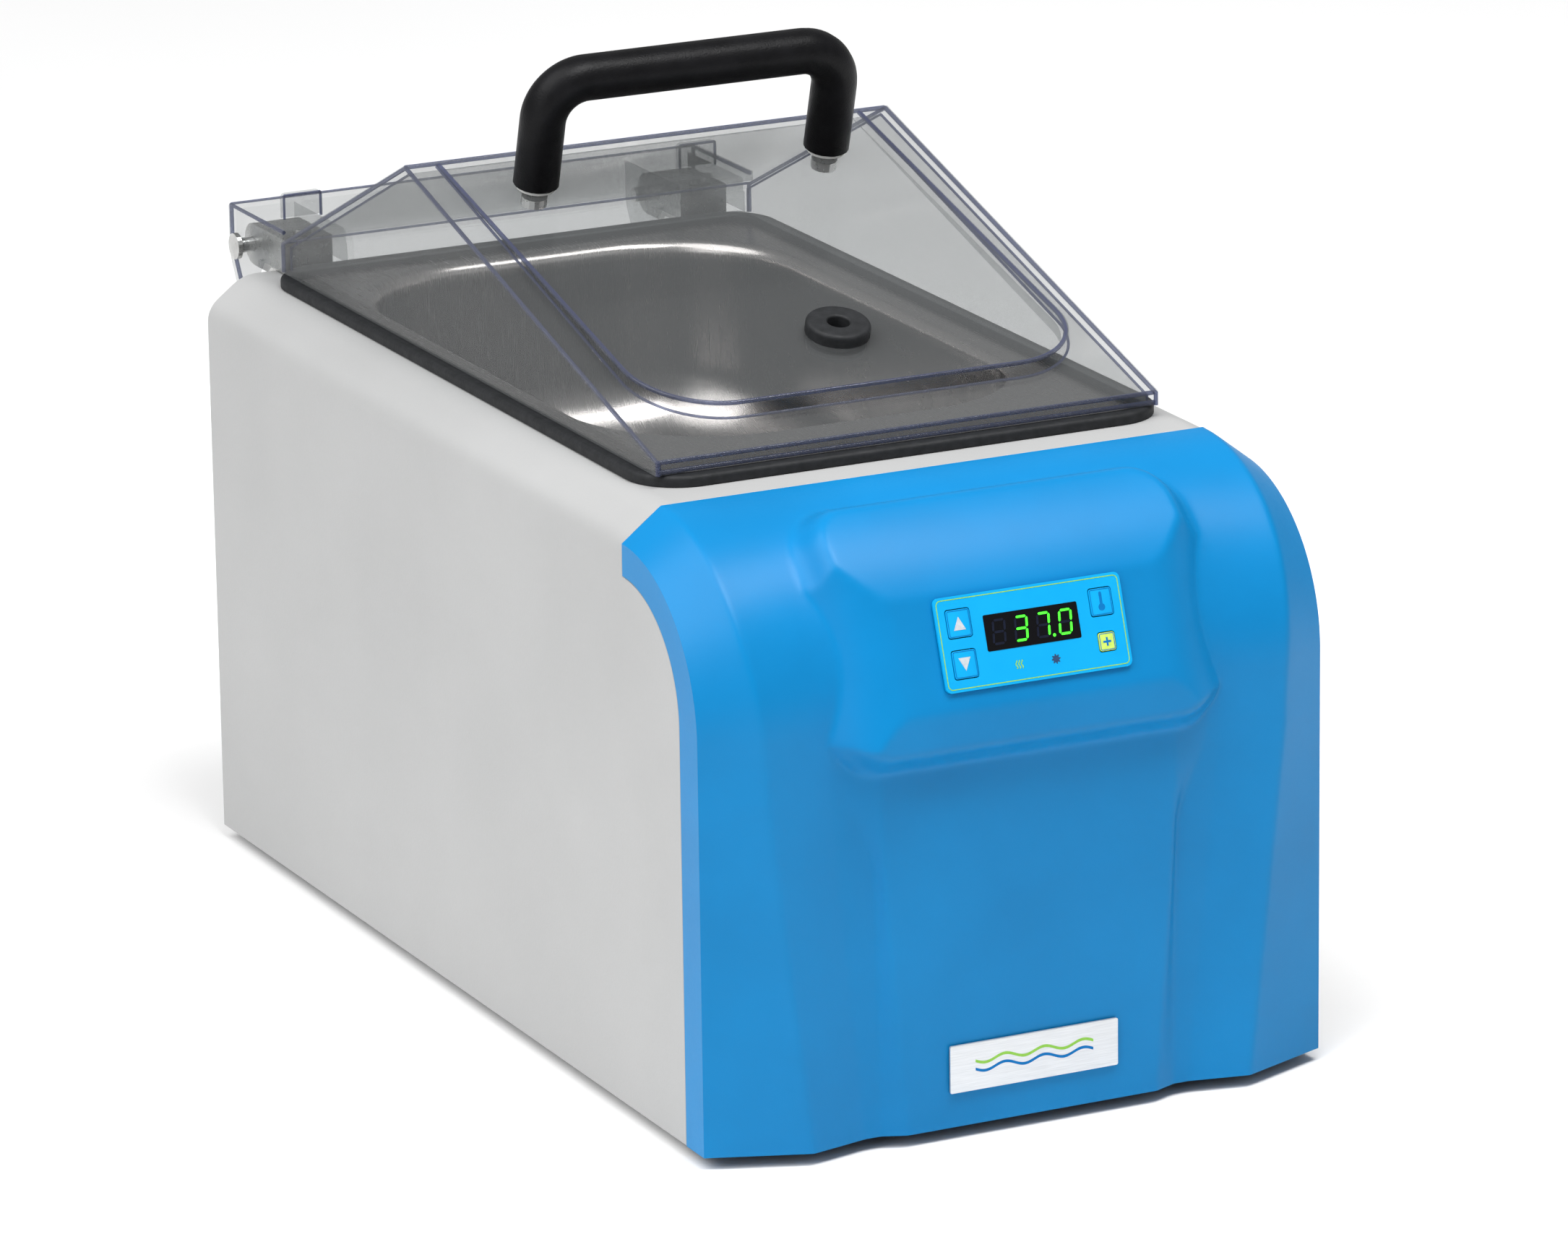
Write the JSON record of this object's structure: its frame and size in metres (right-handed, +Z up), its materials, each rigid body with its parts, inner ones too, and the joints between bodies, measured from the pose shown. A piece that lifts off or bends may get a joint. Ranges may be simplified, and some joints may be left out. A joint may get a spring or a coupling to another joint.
{
  "type": "water bath",
  "caption": "Heated laboratory water bath with a steel tank, a moulded front panel with a key pad and display, and a hinged clear gabled lid.",
  "frame": {"origin": "middle of the object's outline on the surface that it stands on", "axes": "+Z up, -Y towards the front panel, +X to the right seen from the front"},
  "size_m": [0.21, 0.414, 0.2902],
  "materials": {
    "white_coat": "fine-textured white powder coat",
    "blue_panel": "satin blue moulded plastic",
    "steel": "brushed stainless steel",
    "rubber": "black rubber",
    "clear": "clear moulded polycarbonate",
    "black_plastic": "black satin plastic",
    "pad_film": "printed polyester film",
    "lens": "dark tinted lens",
    "circuit_board": "green circuit board",
    "brass": "nickel-plated brass",
    "heater": "silicone heater mat",
    "foam": "insulating foam",
    "aluminium": "plain aluminium",
    "transformer": "laminated core",
    "nylon": "natural nylon",
    "plate": "satin metal plate",
    "rocker": "red switch rocker"
  },
  "bodies": {
    "root": {"housing_shell": "white_coat", "front_panel": "blue_panel", "key_pad": "pad_film", "display_lens": "lens", "display_module": "black_plastic", "control_board": "circuit_board", "nameplate": "plate", "tank": "steel", "tank_gasket": "rubber", "hinge_bracket_left": "steel", "hinge_bracket_right": "steel", "hinge_screw_left": "steel", "hinge_screw_right": "steel", "base_plate": "white_coat", "rear_panel": "white_coat", "foot_front_left": "rubber", "foot_front_right": "rubber", "foot_rear_left": "rubber", "foot_rear_right": "rubber", "rear_screw_low_left": "steel", "rear_screw_low_right": "steel", "rear_screw_high_left": "steel", "rear_screw_high_right": "steel", "power_inlet": "black_plastic", "inlet_pin_live": "brass", "inlet_pin_neutral": "brass", "inlet_pin_earth": "brass", "switch_bezel": "black_plastic", "fuse_holder": "black_plastic", "heater_mat": "heater", "overheat_cutout": "black_plastic", "temperature_probe": "steel", "insulation": "foam", "board_spacer_front_left": "steel", "board_spacer_front_right": "steel", "board_spacer_rear_left": "steel", "board_spacer_rear_right": "steel", "power_board": "circuit_board", "transformer": "transformer", "power_relay": "black_plastic", "heat_sink": "aluminium"},
    "lid_body": {"lid": "clear", "lid_handle": "black_plastic", "handle_washer_left": "nylon", "handle_washer_right": "nylon", "handle_screw_left": "steel", "handle_screw_right": "steel", "lid_grommet": "rubber", "hinge_pin_left": "steel", "hinge_pin_right": "steel"},
    "up_key_body": {"up_key": "pad_film"},
    "down_key_body": {"down_key": "pad_film"},
    "temperature_key_body": {"temperature_key": "pad_film"},
    "calibration_key_body": {"calibration_key": "pad_film"},
    "rocker_body": {"power_rocker": "rocker"}
  },
  "joints": [
    {"name": "lid_hinge", "type": "hinge", "parent": "root", "child": "lid_body", "pos_m": [0, 0.199, 0.197], "axis": [-1, 0, 0], "range_deg": [0, 95]},
    {"name": "up_key_press", "type": "slide", "parent": "root", "child": "up_key_body", "axis": [0, 0.9455, -0.3256], "range_m": [0, 0.0005], "stiffness_N_per_m": 1500},
    {"name": "down_key_press", "type": "slide", "parent": "root", "child": "down_key_body", "axis": [0, 0.9455, -0.3256], "range_m": [0, 0.0005], "stiffness_N_per_m": 1500},
    {"name": "temperature_key_press", "type": "slide", "parent": "root", "child": "temperature_key_body", "axis": [0, 0.9455, -0.3256], "range_m": [0, 0.0005], "stiffness_N_per_m": 1500},
    {"name": "calibration_key_press", "type": "slide", "parent": "root", "child": "calibration_key_body", "axis": [0, 0.9455, -0.3256], "range_m": [0, 0.0005], "stiffness_N_per_m": 1500},
    {"name": "power_switch_rock", "type": "hinge", "parent": "root", "child": "rocker_body", "pos_m": [0.06, 0.1768, 0.07], "axis": [0, 0, -1], "range_deg": [0, 16]}
  ]
}
